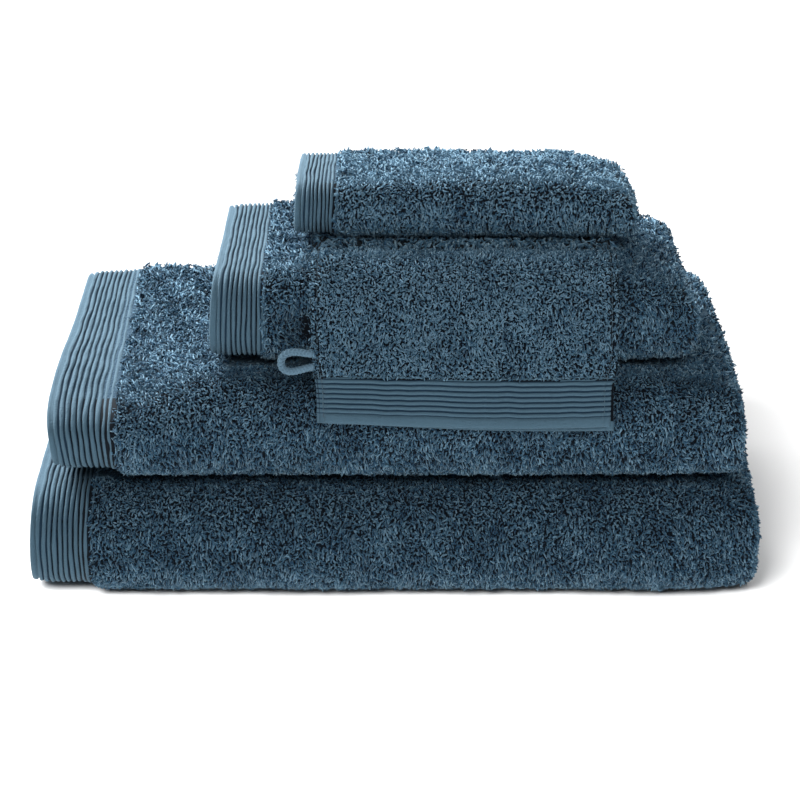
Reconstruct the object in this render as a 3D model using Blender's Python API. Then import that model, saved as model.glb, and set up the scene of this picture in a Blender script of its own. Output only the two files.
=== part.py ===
# Bath towel set, folded and stacked: bath sheet, bath towel, hand towel, a wash mitt
# draped over the hand towel's front, and a guest towel on top of the mitt.
# Metres, +Z up, the folded fronts face -Y, the bordered ends face -X.
# Each towel is one length of terry with a flat ribbed border woven near both ends, a turned
# hem across each end and a narrow turned hem along both sides.  It is folded twice in its
# length (the layers of a pack) and twice in its width (the packs of the bundle).
import math
import bpy
import bmesh

# ---------------------------------------------------------------- driving dimensions
GAP = 0.0003                 # clearance between neighbouring solids
PACK_GAP = 0.0008            # clearance between two packs of one folded towel
SIDE_HEM_W = 0.007           # width of the turned hem along the sides of a towel
END_HEM_W = 0.009            # width of the turned hem across the ends of a towel
BORDER_PART = 0.60           # border thickness as a share of the terry's

# flat width and length, height of the folded bundle
SHEET_FLAT_W = 1.000
SHEET_FLAT_L = 1.500
SHEET_H = 0.064
SHEET_BORDER_W = 0.032

BATH_FLAT_W = 0.700
BATH_FLAT_L = 1.400
BATH_H = 0.057
BATH_BORDER_W = 0.032
BATH_SHIFT_X = 0.0026        # centre of the bundle beside the bath sheet's centre
BATH_SETBACK = 0.006         # how far its front stands behind the sheet's front

HAND_FLAT_W = 0.500
HAND_FLAT_L = 1.000
HAND_H = 0.0515
HAND_BORDER_W = 0.028
HAND_SHIFT_X = 0.0308
HAND_SETBACK = 0.024

GUEST_FLAT_W = 0.300
GUEST_FLAT_L = 0.517
GUEST_H = 0.032
GUEST_BORDER_W = 0.021
GUEST_SHIFT_X = 0.036
GUEST_SETBACK = 0.058

MITT_W = 0.152
MITT_L = 0.200
MITT_PANEL_T = 0.0030        # one terry panel
MITT_BORDER_W = 0.024
MITT_BORDER_T = 0.0022
MITT_SEAM_W = 0.0025
MITT_SHIFT_X = 0.035

LOOP_D = 0.0036              # braid of the hanging loop
LOOP_OUT = 0.0190            # how far the loop stands out from the seam
LOOP_TALL = 0.0150           # outer size of the loop along the seam
LOOP_FROM_HEM = 0.0375       # loop's middle above the mitt's open edge

OUTER_SEGS = 8               # segments of the outer fold
INNER_SEGS = 5               # segments of the tight folds
END_SEGS = 5                 # segments of the rounded end of a pack

for old in list(bpy.data.objects):
    bpy.data.objects.remove(old, do_unlink=True)


# ---------------------------------------------------------------- helpers
def material(name, rgb, rough):
    mat = bpy.data.materials.new(name)
    mat.use_nodes = True
    node = mat.node_tree.nodes["Principled BSDF"]
    node.inputs["Base Color"].default_value = (rgb[0], rgb[1], rgb[2], 1.0)
    node.inputs["Roughness"].default_value = rough
    mat.diffuse_color = (rgb[0], rgb[1], rgb[2], 1.0)
    return mat


def add_object(name, bm, rgb, rough=0.9):
    bmesh.ops.recalc_face_normals(bm, faces=bm.faces)
    mesh = bpy.data.meshes.new(name)
    bm.to_mesh(mesh)
    bm.free()
    mesh.shade_smooth()
    mesh.set_sharp_from_angle(angle=math.radians(40.0))
    obj = bpy.data.objects.new(name, mesh)
    obj.data.materials.append(material(name + "_mat", rgb, rough))
    bpy.context.scene.collection.objects.link(obj)
    return obj


def axis_empty(name, place, parent=None):
    """Parent empty of a moving piece, standing on its joint's axis."""
    empty = bpy.data.objects.new(name, None)
    bpy.context.scene.collection.objects.link(empty)
    empty.location = place
    if parent is not None:
        hang_on(empty, parent)
    return empty


def hang_on(obj, parent):
    """Parents an object without moving it."""
    bpy.context.view_layer.update()
    obj.parent = parent
    obj.matrix_parent_inverse = parent.matrix_world.inverted()


def sweep(rings):
    """Closed solid through rings of points, each ring the same number of points."""
    bm = bmesh.new()
    rows = [[bm.verts.new(co) for co in ring] for ring in rings]
    count = len(rings[0])
    for a, b in zip(rows[:-1], rows[1:]):
        for i in range(count):
            j = (i + 1) % count
            bm.faces.new((a[i], a[j], b[j], b[i]))
    bm.faces.new(tuple(reversed(rows[0])))
    bm.faces.new(tuple(rows[-1]))
    return bm


def arc(cy, cz, radius, a0, a1, segs):
    """Points of an arc as (y, z, angle), both ends included."""
    out = []
    for i in range(segs + 1):
        a = a0 + (a1 - a0) * i / segs
        out.append((cy + radius * math.cos(a), cz + radius * math.sin(a), a))
    return out


def half_twice_path(length, pitch, edge, base, cut_start=0.0, cut_end=0.0):
    """Centre line of a strip folded in half twice, as (u, w, nu, nw).

    u runs towards the open side, w is the height.  edge is the outermost u of the big fold,
    base the lowest w.  (nu, nw) points to the face that ends up outside."""
    leaf = (length - 2.5 * math.pi * pitch) / 4.0
    c = edge + 2.0 * pitch
    mid = base + 2.0 * pitch
    far = c + leaf
    pts = [(far - cut_start, base + 0.5 * pitch, 0.0, -1.0)]
    for y, z, a in arc(c, mid, 1.5 * pitch, -0.5 * math.pi, -1.5 * math.pi, OUTER_SEGS):
        pts.append((y, z, math.cos(a), math.sin(a)))
    for y, z, a in arc(far, base + 3.0 * pitch, 0.5 * pitch, 0.5 * math.pi, -0.5 * math.pi, INNER_SEGS):
        pts.append((y, z, math.cos(a), math.sin(a)))
    for y, z, a in arc(c, mid, 0.5 * pitch, 0.5 * math.pi, 1.5 * math.pi, INNER_SEGS):
        pts.append((y, z, -math.cos(a), -math.sin(a)))
    pts.append((far - cut_end, base + 1.5 * pitch, 0.0, 1.0))
    return pts


def along(path, section):
    """Rings of a section of (x, n) points carried along a path in the YZ plane."""
    return [[(x, y + n * ny, z + n * nz) for x, n in section] for y, z, ny, nz in path]


class Towel:
    """Sizes and places of one folded towel, all from its flat size and folded height."""

    def __init__(self, name, flat_w, flat_l, height, border_w, x_mid, y_front, z_base, layers, rgb):
        self.name = name
        self.rgb = rgb
        self.flat_w = flat_w
        self.layers = layers
        self.pitch = (height + PACK_GAP) / 4.0
        self.half = 0.5 * (self.pitch - PACK_GAP)
        self.t = 2.0 * self.half / layers
        bends = 2.5 if layers == 4 else 1.5
        leaf = (flat_l - bends * math.pi * self.t) / layers
        self.width = leaf + 0.5 * layers * self.t + self.t
        self.x0 = x_mid - 0.5 * self.width
        self.x1 = x_mid + 0.5 * self.width
        self.border_x = self.x0 + border_w
        self.y0 = y_front
        self.z0 = z_base
        self.top = z_base + height
        self.base = z_base - 0.5 * PACK_GAP
        self.depth = (flat_w - 2.5 * math.pi * self.pitch) / 4.0 + 3.0 * self.pitch
        self.border_t = BORDER_PART * self.t

    def path(self, cut=0.0):
        return half_twice_path(self.flat_w, self.pitch, self.y0, self.base, cut, cut)

    def body(self):
        """Terry of the whole pack, stepped at the left where the two borders lie on it."""
        h = self.half
        step = h - 2.0 * self.t - 0.5 * GAP
        if self.layers == 3:
            step = h - self.t - 0.5 * GAP
        left = self.x0 + 0.25 * self.t
        sec = [(left + 0.4 * self.t, -h), (self.x1 - h, -h)]
        for i in range(1, END_SEGS):
            a = -0.5 * math.pi + math.pi * i / END_SEGS
            sec.append((self.x1 - h + h * math.cos(a), h * math.sin(a)))
        sec.append((self.x1 - h, h))
        sec.append((self.border_x + GAP, h))
        sec.append((self.border_x + GAP, step))
        sec.append((left + 0.4 * self.t, step))
        sec.append((left, 0.5 * (step - h)))
        return add_object(self.name + "_body", sweep(along(self.path(SIDE_HEM_W + GAP), sec)), self.rgb)

    def strip(self, suffix, x0, x1, n0, n1, rgb):
        sec = [(x0, n0), (x1, n0), (x1, n1), (x0, n1)]
        return add_object(self.name + suffix, sweep(along(self.path(), sec)), rgb, 0.8)

    def borders(self, rgb):
        """Ribbed border of the outer layer with its turned hem, then the other end's."""
        h = self.half
        tb = self.border_t
        self.strip("_outer_border", self.x0, self.border_x, h - tb, h, rgb)
        self.strip("_outer_end_hem", self.x0, self.x0 + END_HEM_W,
                   h - self.t + 0.5 * GAP, h - tb - GAP, rgb)
        if self.layers == 4:
            n1 = h - self.t - 0.5 * GAP
            x0 = self.x0 + 0.5 * self.t
            self.strip("_inner_border", x0, self.border_x, n1 - tb, n1, rgb)
            self.strip("_inner_end_hem", x0, x0 + END_HEM_W,
                       h - 2.0 * self.t + 0.5 * GAP, n1 - tb - GAP, rgb)

    def side_hem(self, suffix, mid, up, rgb):
        """Turned side hem of one pack: a narrow strip lying in the pack's folded layers."""
        t = self.t
        half_t = 0.5 * (t - GAP)
        far = self.y0 + self.depth - self.pitch
        x_in = self.x1 - 0.5 * self.layers * t
        x_fold = self.x0 + 1.5 * t
        pts = [(self.border_x + GAP, 1.5 * t, 0.0, 1.0)]
        if self.layers == 4:
            for x, n, a in arc(x_in, 0.0, 1.5 * t, 0.5 * math.pi, -0.5 * math.pi, INNER_SEGS):
                pts.append((x, n, math.cos(a), math.sin(a)))
            for x, n, a in arc(x_fold, -t, 0.5 * t, -0.5 * math.pi, -1.5 * math.pi, INNER_SEGS - 1):
                pts.append((x, n, math.cos(a), math.sin(a)))
            for x, n, a in arc(x_in, 0.0, 0.5 * t, -0.5 * math.pi, 0.5 * math.pi, INNER_SEGS - 1):
                pts.append((x, n, -math.cos(a), -math.sin(a)))
            pts.append((self.border_x + GAP, 0.5 * t, 0.0, -1.0))
        else:
            pts[0] = (self.border_x + GAP, t, 0.0, 1.0)
            for x, n, a in arc(x_in, 0.0, t, 0.5 * math.pi, -0.5 * math.pi, INNER_SEGS):
                pts.append((x, n, math.cos(a), math.sin(a)))
            for x, n, a in arc(x_fold, -0.5 * t, 0.5 * t, -0.5 * math.pi, -1.5 * math.pi, INNER_SEGS - 1):
                pts.append((x, n, math.cos(a), math.sin(a)))
            pts.append((x_in - 1.5 * t, 0.0, 0.0, 1.0))
        rings = []
        for x, n, nx, nn in pts:
            ring = []
            for dy, k in ((-SIDE_HEM_W, -1.0), (0.0, -1.0), (0.0, 1.0), (-SIDE_HEM_W, 1.0)):
                ring.append((x + k * half_t * nx, far + dy, mid + up * (n + k * half_t * nn)))
            rings.append(ring)
        return add_object(self.name + suffix, sweep(rings), rgb, 0.85)

    def side_hems(self, rgb):
        low = self.base + 0.5 * self.pitch
        self.side_hem("_lower_side_hem", low, -1.0, rgb)
        self.side_hem("_upper_side_hem", low + self.pitch, 1.0, rgb)


# ---------------------------------------------------------------- the four towels
TERRY = (0.055, 0.125, 0.190)
BORDER = (0.085, 0.175, 0.245)
HEM = (0.070, 0.150, 0.215)

sheet_pitch = (SHEET_H + PACK_GAP) / 4.0
sheet_depth = (SHEET_FLAT_W - 2.5 * math.pi * sheet_pitch) / 4.0 + 3.0 * sheet_pitch
front = -0.5 * sheet_depth

sheet = Towel("bath_sheet", SHEET_FLAT_W, SHEET_FLAT_L, SHEET_H, SHEET_BORDER_W,
              0.0, front, 0.0, 4, TERRY)
bath = Towel("bath_towel", BATH_FLAT_W, BATH_FLAT_L, BATH_H, BATH_BORDER_W,
             BATH_SHIFT_X, front + BATH_SETBACK, sheet.top + GAP, 4, TERRY)
hand = Towel("hand_towel", HAND_FLAT_W, HAND_FLAT_L, HAND_H, HAND_BORDER_W,
             HAND_SHIFT_X, front + HAND_SETBACK, bath.top + GAP, 4, TERRY)
mitt_t = 2.0 * MITT_PANEL_T + GAP
guest = Towel("guest_towel", GUEST_FLAT_W, GUEST_FLAT_L, GUEST_H, GUEST_BORDER_W,
              GUEST_SHIFT_X, front + GUEST_SETBACK, hand.top + mitt_t + 2.0 * GAP, 3, TERRY)

for towel in (sheet, bath, hand, guest):
    towel.body()
    towel.borders(BORDER)
    towel.side_hems(HEM)

# each towel lifts off the one below it
bath_axis = axis_empty("bath_towel_lift", (BATH_SHIFT_X, bath.y0 + 0.5 * bath.depth, bath.z0))
hand_axis = axis_empty("hand_towel_lift", (HAND_SHIFT_X, hand.y0 + 0.5 * hand.depth, hand.z0), bath_axis)
mitt_axis = axis_empty("mitt_lift", (MITT_SHIFT_X, hand.y0 + 0.5 * hand.depth, hand.top + GAP), hand_axis)
guest_axis = axis_empty("guest_towel_lift", (GUEST_SHIFT_X, guest.y0 + 0.5 * guest.depth, guest.z0),
                        mitt_axis)
carried = ((bath.name, bath_axis), (hand.name, hand_axis), (guest.name, guest_axis))
for prefix, empty in carried:
    for obj in list(bpy.data.objects):
        if obj.type == "MESH" and obj.name.startswith(prefix):
            hang_on(obj, empty)

# ---------------------------------------------------------------- the wash mitt
# A flat bag of two terry panels, open at the bordered end.  Its closed end lies on the hand
# towel under the guest towel, the rest hangs over the fronts of the two towels below.
mx0 = MITT_SHIFT_X - 0.5 * MITT_W
mx1 = MITT_SHIFT_X + 0.5 * MITT_W
hand_r = 0.5 * HAND_H
hand_c = (hand.y0 + hand_r, hand.z0 + hand_r)
bath_r = 0.5 * BATH_H
bath_c = (bath.y0 + bath_r, bath.z0 + bath_r)
mid_off = GAP + 0.5 * mitt_t

r_h = hand_r + mid_off
r_b = bath_r + mid_off
dy = bath_c[0] - hand_c[0]
dz = bath_c[1] - hand_c[1]
span = math.hypot(dy, dz)
toward = (r_h - r_b) / span
across = math.sqrt(1.0 - toward * toward)
leave_y = toward * dy / span + across * dz / span    # normal of the straight hanging part
leave_z = toward * dz / span - across * dy / span
leave = math.atan2(leave_z, leave_y) % (2.0 * math.pi)
straight = span * across
hang = (-leave_z, leave_y)                       # direction of the hanging part, downwards
arc_len = r_h * (leave - 0.5 * math.pi)
rear_len = MITT_L - arc_len - straight
top_z = hand_c[1] + r_h

ARC_SEGS = 7


def flap_path(skip_start, stop):
    """(y, z, ny, nz) from the hinge line down to a distance before the open edge."""
    pts = []
    a0 = 0.5 * math.pi + skip_start / r_h
    for y, z, a in arc(hand_c[0], hand_c[1], r_h, a0, leave, ARC_SEGS):
        pts.append((y, z, math.cos(a), math.sin(a)))
    ny = math.cos(leave)
    nz = math.sin(leave)
    y = hand_c[0] + r_h * ny + (straight - stop) * hang[0]
    z = hand_c[1] + r_h * nz + (straight - stop) * hang[1]
    pts.append((y, z, ny, nz))
    return pts


def border_path(start, stop):
    """The straight part between two distances from the open edge."""
    ny = math.cos(leave)
    nz = math.sin(leave)
    pts = []
    for s in (start, stop):
        y = hand_c[0] + r_h * ny + (straight - s) * hang[0]
        z = hand_c[1] + r_h * nz + (straight - s) * hang[1]
        pts.append((y, z, ny, nz))
    return pts


def rear_path(end_gap, start_gap):
    y_hinge = hand_c[0]
    return [(y_hinge + rear_len - end_gap, top_z, 0.0, 1.0),
            (y_hinge + start_gap, top_z, 0.0, 1.0)]


def box_section(x0, x1, n0, n1):
    return [(x0, n0), (x1, n0), (x1, n1), (x0, n1)]


def side_section(x_in, x_out, half):
    """Rounded edge of the bag, from the inner x to the outer x."""
    k = 1.0 if x_out > x_in else -1.0
    r = abs(x_out - x_in)
    sec = [(x_in, -half), (x_out - 0.5 * k * r, -half), (x_out, -0.4 * half),
           (x_out, 0.4 * half), (x_out - 0.5 * k * r, half), (x_in, half)]
    return sec


half_m = 0.5 * mitt_t
px0 = mx0 + MITT_SEAM_W
px1 = mx1 - MITT_SEAM_W
HINGE_GAP = 0.0005
upper = box_section(px0 + GAP, px1 - GAP, 0.5 * GAP, half_m)
lower = box_section(px0 + GAP, px1 - GAP, -half_m, -0.5 * GAP)
rear_end = MITT_SEAM_W + GAP
add_object("mitt_rear_upper_panel", sweep(along(rear_path(rear_end, HINGE_GAP), upper)), TERRY)
add_object("mitt_rear_lower_panel", sweep(along(rear_path(rear_end, HINGE_GAP), lower)), TERRY)

# seam round the closed end: one bead running down both sides and across the end
y_open = hand_c[0] + HINGE_GAP
y_end = hand_c[0] + rear_len
h2 = half_m
bead = ((0.0, -h2), (0.5 * MITT_SEAM_W, -h2), (MITT_SEAM_W, -0.4 * h2),
        (MITT_SEAM_W, 0.4 * h2), (0.5 * MITT_SEAM_W, h2), (0.0, h2))
rings = [[(px0 - d, y_open, top_z + n) for d, n in bead],
         [(px0 - d, y_end - MITT_SEAM_W + d, top_z + n) for d, n in bead],
         [(px1 + d, y_end - MITT_SEAM_W + d, top_z + n) for d, n in bead],
         [(px1 + d, y_open, top_z + n) for d, n in bead]]
add_object("mitt_closed_end_seam", sweep(rings), HEM, 0.85)

# hanging part: two panels, their borders at the open edge and the two side seams
add_object("mitt_front_panel",
           sweep(along(flap_path(HINGE_GAP, MITT_BORDER_W + GAP), upper)), TERRY)
add_object("mitt_back_panel",
           sweep(along(flap_path(HINGE_GAP, MITT_BORDER_W + GAP), lower)), TERRY)
front_band = box_section(px0 + GAP, px1 - GAP, 0.5 * GAP, 0.5 * GAP + MITT_BORDER_T)
back_band = box_section(px0 + GAP, px1 - GAP, -0.5 * GAP - MITT_BORDER_T, -0.5 * GAP)
add_object("mitt_front_border", sweep(along(border_path(MITT_BORDER_W, 0.0), front_band)), BORDER, 0.8)
add_object("mitt_back_border", sweep(along(border_path(MITT_BORDER_W, 0.0), back_band)), BORDER, 0.8)
add_object("mitt_left_seam", sweep(along(flap_path(HINGE_GAP, 0.0), side_section(px0, mx0, half_m))),
           HEM, 0.85)
add_object("mitt_right_seam", sweep(along(flap_path(HINGE_GAP, 0.0), side_section(px1, mx1, half_m))),
           HEM, 0.85)

# ---------------------------------------------------------------- the hanging loop
# A round braid doubled back on itself, both ends caught in the left seam.
ny = math.cos(leave)
nz = math.sin(leave)
s_mid = straight - LOOP_FROM_HEM
loop_y = hand_c[0] + r_h * ny + s_mid * hang[0]
loop_z = hand_c[1] + r_h * nz + s_mid * hang[1]
loop_r = 0.5 * LOOP_D
root_half = loop_r + 0.0009                      # half the distance between the two ends
eye_r = 0.5 * LOOP_TALL - loop_r
x_root = mx0 - GAP
LOOP_POINTS = 17
LOOP_STUB = 0.0012                               # the ends leave the seam squarely
curve = bpy.data.curves.new("mitt_hanging_loop", "CURVE")
curve.dimensions = "3D"
curve.bevel_depth = loop_r
curve.bevel_resolution = 2
curve.use_fill_caps = True
spline = curve.splines.new("POLY")
spline.points.add(LOOP_POINTS + 1)
line = [(x_root, root_half)]
for i in range(LOOP_POINTS):
    turn = math.pi * i / (LOOP_POINTS - 1)
    out = LOOP_STUB + (LOOP_OUT - loop_r - LOOP_STUB) * max(math.sin(turn), 0.0) ** 0.85
    side = math.cos(turn) * (root_half + 2.3 * (eye_r - root_half) * math.sin(turn))
    line.append((x_root - out, side))
line.append((x_root, -root_half))
for point, (x, side) in zip(spline.points, line):
    point.co = (x, loop_y - side * hang[0], loop_z - side * hang[1], 1.0)
loop = bpy.data.objects.new("mitt_hanging_loop", curve)
curve.materials.append(material("mitt_hanging_loop_mat", BORDER, 0.7))
bpy.context.scene.collection.objects.link(loop)

# the hanging part folds up about the line where it leaves the flat part, at the mitt's top face
flap_axis = axis_empty("mitt_flap_swing", (MITT_SHIFT_X, hand_c[0], top_z + half_m), mitt_axis)
flap = ("mitt_front", "mitt_back", "mitt_left", "mitt_right", "mitt_hanging")
for obj in list(bpy.data.objects):
    if obj.type != "EMPTY" and obj.name.startswith(flap):
        hang_on(obj, flap_axis)
    elif obj.type != "EMPTY" and obj.name.startswith("mitt_"):
        hang_on(obj, mitt_axis)
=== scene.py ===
import math
import bmesh
import bpy
import numpy as np
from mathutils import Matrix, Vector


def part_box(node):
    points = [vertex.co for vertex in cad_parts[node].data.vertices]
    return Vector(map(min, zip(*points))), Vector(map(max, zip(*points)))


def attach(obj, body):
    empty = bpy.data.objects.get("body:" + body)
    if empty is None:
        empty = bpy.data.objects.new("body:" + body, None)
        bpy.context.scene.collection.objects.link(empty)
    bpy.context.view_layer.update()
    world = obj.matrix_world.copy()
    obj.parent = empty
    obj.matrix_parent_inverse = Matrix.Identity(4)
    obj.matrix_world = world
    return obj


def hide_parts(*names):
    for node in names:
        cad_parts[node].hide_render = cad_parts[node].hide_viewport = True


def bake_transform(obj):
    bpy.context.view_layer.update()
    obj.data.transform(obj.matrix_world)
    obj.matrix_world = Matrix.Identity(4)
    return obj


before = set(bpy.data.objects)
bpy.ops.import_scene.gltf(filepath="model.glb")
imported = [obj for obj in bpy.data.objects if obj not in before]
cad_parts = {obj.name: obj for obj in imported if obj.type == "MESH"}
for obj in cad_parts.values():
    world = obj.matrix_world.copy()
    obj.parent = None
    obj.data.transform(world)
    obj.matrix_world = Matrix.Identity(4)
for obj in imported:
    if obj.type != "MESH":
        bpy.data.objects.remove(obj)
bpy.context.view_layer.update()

# ------------------------------------------------------------ camera
# A long lens a little above the stack, looking at its fronts.
VIEW_UP = math.radians(20.35)
VIEW_FROM = 1.600
VIEW_AT = (0.0026, -0.0006, 0.0662)

lens = bpy.data.cameras.new("camera")
lens.sensor_width = 36.0
lens.lens = 129.5
lens.clip_start = 0.05
lens.clip_end = 60.0
camera = bpy.data.objects.new("camera", lens)
camera.location = (VIEW_AT[0], VIEW_AT[1] - VIEW_FROM * math.cos(VIEW_UP),
                   VIEW_AT[2] + VIEW_FROM * math.sin(VIEW_UP))
camera.rotation_euler = (0.5 * math.pi - VIEW_UP, 0.0, 0.0)
bpy.context.scene.collection.objects.link(camera)
bpy.context.scene.camera = camera


# ------------------------------------------------------------ floor and light
# A plain matt white floor in an even, weak studio light.  A broad key high behind on the left
# rakes across the tops, a weak fill opens the fronts, and two panels light only the floor.
FLOOR_AT = -0.0006
TOWELS = (0.0, 0.0, 0.1)
FRONT_FLOOR = (-0.1, -0.3, 0.0)
FAR_FLOOR = (0.0, 4.0, 0.0)

floor_mat = bpy.data.materials.new("matt_white_floor")
floor_mat.use_nodes = True
floor_shader = floor_mat.node_tree.nodes["Principled BSDF"]
floor_shader.inputs["Base Color"].default_value = (0.80, 0.80, 0.80, 1.0)
floor_shader.inputs["Roughness"].default_value = 0.9
floor_shader.inputs["Specular IOR Level"].default_value = 0.1
floor_mesh = bpy.data.meshes.new("floor")
bm = bmesh.new()
bmesh.ops.create_grid(bm, x_segments=1, y_segments=1, size=20.0)
bm.to_mesh(floor_mesh)
bm.free()
floor_mesh.materials.append(floor_mat)
floor = bpy.data.objects.new("floor", floor_mesh)
floor.location = (0.0, 0.0, FLOOR_AT)
bpy.context.scene.collection.objects.link(floor)

world = bpy.data.worlds.new("studio")
world.use_nodes = True
world.node_tree.nodes["Background"].inputs["Color"].default_value = (1.0, 1.0, 1.0, 1.0)
world.node_tree.nodes["Background"].inputs["Strength"].default_value = 0.25
bpy.context.scene.world = world
bpy.context.scene.view_settings.view_transform = "Standard"


def area_light(name, place, target, size, power, floor_state):
    """A rectangular soft box aimed at a point, lighting only the floor or all but the floor."""
    data = bpy.data.lights.new(name, "AREA")
    data.shape = "RECTANGLE"
    data.size = size[0]
    data.size_y = size[1]
    data.energy = power
    obj = bpy.data.objects.new(name, data)
    obj.location = place
    away = obj.location - Vector(target)
    obj.rotation_euler = away.to_track_quat("Z", "Y").to_euler()
    bpy.context.scene.collection.objects.link(obj)
    group = bpy.data.collections.new(name + "_receivers")
    group.objects.link(floor)
    obj.light_linking.receiver_collection = group
    group.collection_objects[0].light_linking.link_state = floor_state
    return obj


area_light("back_key", (-0.75, 0.95, 1.22), TOWELS, (1.4, 0.8), 112.0, "EXCLUDE")
area_light("front_fill", (0.4, -1.7, 1.45), TOWELS, (1.2, 0.8), 19.0, "EXCLUDE")
area_light("floor_panel", (-0.9, -1.9, 1.7), FRONT_FLOOR, (1.4, 1.0), 165.0, "INCLUDE")
area_light("far_floor_panel", (0.0, 4.0, 2.6), FAR_FLOOR, (7.0, 5.0), 400.0, "INCLUDE")


# ------------------------------------------------------------ the four towels' cloth
# Four towels in dyed cotton terry.  Each is one woven length, folded in half or in thirds: a
# looped ground in the middle, a flat band with raised ribs at both ends whose edge is turned
# under and sewn, and sides that are turned twice into narrow hems.
def colour(code):
    """Linear colour of an sRGB hex code."""
    out = []
    for i in (0, 2, 4):
        c = int(code[i:i + 2], 16) / 255.0
        out.append(c / 12.92 if c <= 0.04045 else ((c + 0.055) / 1.055) ** 2.4)
    return (out[0], out[1], out[2], 1.0)


def add_node(mat, kind, values):
    """A shader node with its socket values set."""
    made = mat.node_tree.nodes.new(kind)
    for key, value in values.items():
        made.inputs[key].default_value = value
    return made


def cotton(name, code, rough, sheen, grain=0.0, grain_mm=0.6, depth_mm=0.3):
    """Dyed cotton: matt, with a soft sheen in its own colour where the fibres stand up, and a
    fine grain grain_mm across if grain is above zero."""
    mat = bpy.data.materials.new(name)
    mat.use_nodes = True
    shader = mat.node_tree.nodes["Principled BSDF"]
    shader.inputs["Base Color"].default_value = colour(code)
    shader.inputs["Roughness"].default_value = rough
    shader.inputs["Specular IOR Level"].default_value = 0.18
    shader.inputs["Sheen Weight"].default_value = sheen
    shader.inputs["Sheen Roughness"].default_value = 0.45
    shader.inputs["Sheen Tint"].default_value = colour("b6d6e6")
    if grain > 0.0:
        place = mat.node_tree.nodes.new("ShaderNodeTexCoord")
        noise = add_node(mat, "ShaderNodeTexNoise", {"Scale": 1000.0 / grain_mm, "Detail": 2.0})
        bump = add_node(mat, "ShaderNodeBump", {"Strength": grain, "Distance": 0.001 * depth_mm})
        mat.node_tree.links.new(place.outputs["Object"], noise.inputs["Vector"])
        mat.node_tree.links.new(noise.outputs["Fac"], bump.inputs["Height"])
        mat.node_tree.links.new(bump.outputs["Normal"], shader.inputs["Normal"])
    return mat


# The plain weave between the loops, painted near black as painted shade deep in the pile: almost no light
# comes back from it.
GROUND_SHADE = cotton("cotton_ground_painted_shade", "050d16", 0.95, 0.1)
# Loops pressed flat by the towel above: even and matt, mottled by tufts about 1.3 mm across.
PRESSED = cotton("cotton_pressed_pile", "223d51", 0.95, 0.3, 1.0, 1.3, 1.6)
# Flat woven ribs look paler than the pile, because they face the light evenly.  Their threads
# are half a millimetre apart, and are drawn 0.9 mm apart so that they show.
RIBS = cotton("cotton_ribbed_weave", "435d6d", 0.85, 0.2, 1.0, 0.9, 0.5)
# The low weave between two ribs, painted dark: painted shade for the little light that falls there.
GROOVE_SHADE = cotton("cotton_rib_groove_painted_shade", "1f3547", 0.95, 0.05)
# A turned edge, sewn down flat: the same cloth doubled, with a fainter grain.
HEM = cotton("cotton_turned_hem", "486170", 0.9, 0.25, 0.5, 0.7)


# A folded cloth is described by two lines: how its length lies (x and height in the pack) and
# how its width lies (y and z).  Every mesh below is made flat and then carried onto them.
LAYER_GAP = 0.0008
PROBE = 0.0004
ARC_STEPS = 32
QUARTER = 0.5 * math.pi

rng = np.random.default_rng(11)


def unit(v):
    """Each row scaled to length 1."""
    return v / np.maximum(np.linalg.norm(v, axis=1, keepdims=True), 1e-12)


def ramp(x):
    """A smooth rise from 0 to 1 as x goes from 0 to 1."""
    x = np.clip(x, 0.0, 1.0)
    return x * x * (3.0 - 2.0 * x)


def lift(lay, end_u, end_v, u, v, off):
    """Points of a laid cloth moved by off along the cloth's own normal."""
    p = lay(u, v)
    if np.all(off == 0.0):
        return p
    du = lay(np.minimum(u + PROBE, end_u), v) - lay(np.maximum(u - PROBE, 0.0), v)
    dv = lay(u, np.minimum(v + PROBE, end_v)) - lay(u, np.maximum(v - PROBE, 0.0))
    return p + np.reshape(off, (-1, 1)) * unit(np.cross(du, dv))


class Line:
    """A plane line of straight and round stretches.  s, p and n hold its length so far, its
    points and the cloth's outer side; rows says where a mesh has its rows, and marks holds the
    ends of the stretches."""

    def __init__(self):
        self.s = []
        self.p = []
        self.n = []
        self.rows = [0.0]
        self.marks = [0.0]
        self.end = 0.0

    def straight(self, a, b, normal, step=0.011):
        """A flat stretch from a to b, with mesh rows about step apart."""
        length = math.hypot(b[0] - a[0], b[1] - a[1])
        count = max(1, int(round(length / step)))
        self.rows += [self.end + length * (i + 1) / count for i in range(count)]
        self.s += [self.end, self.end + length]
        self.p += [a, b]
        self.n += [normal, normal]
        self.end += length
        self.marks.append(self.end)

    def bend(self, centre, radius, start, stop, out, rows=8):
        """An arc; out is 1 where the cloth's outer side faces away from the centre, else -1."""
        length = abs(stop - start) * radius
        self.rows += [self.end + length * (i + 1) / rows for i in range(rows)]
        for i in range(ARC_STEPS + 1):
            a = start + (stop - start) * i / ARC_STEPS
            self.s.append(self.end + length * i / ARC_STEPS)
            self.p.append((centre[0] + radius * math.cos(a), centre[1] + radius * math.sin(a)))
            self.n.append((out * math.cos(a), out * math.sin(a)))
        self.end += length
        self.marks.append(self.end)

    def at(self, s):
        """Points of the line and its outer side at lengths s."""
        s = np.clip(s, 0.0, self.end)
        p = np.stack([np.interp(s, self.s, [q[i] for q in self.p]) for i in (0, 1)], 1)
        n = np.stack([np.interp(s, self.s, [q[i] for q in self.n]) for i in (0, 1)], 1)
        return p, unit(n)


def patches(x, y, size):
    """Slow even variation, mostly between -1 and 1, in patches about size across."""
    turn = (0.3, 1.1, 1.9, 2.6, 3.5, 4.7)
    rate = (1.0, 0.83, 1.21, 0.92, 1.33, 0.74)
    total = sum(np.sin(math.pi * r * (x * math.cos(t) + y * math.sin(t)) / size + 9.0 * t)
                for t, r in zip(turn, rate))
    return total / 2.4


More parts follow.
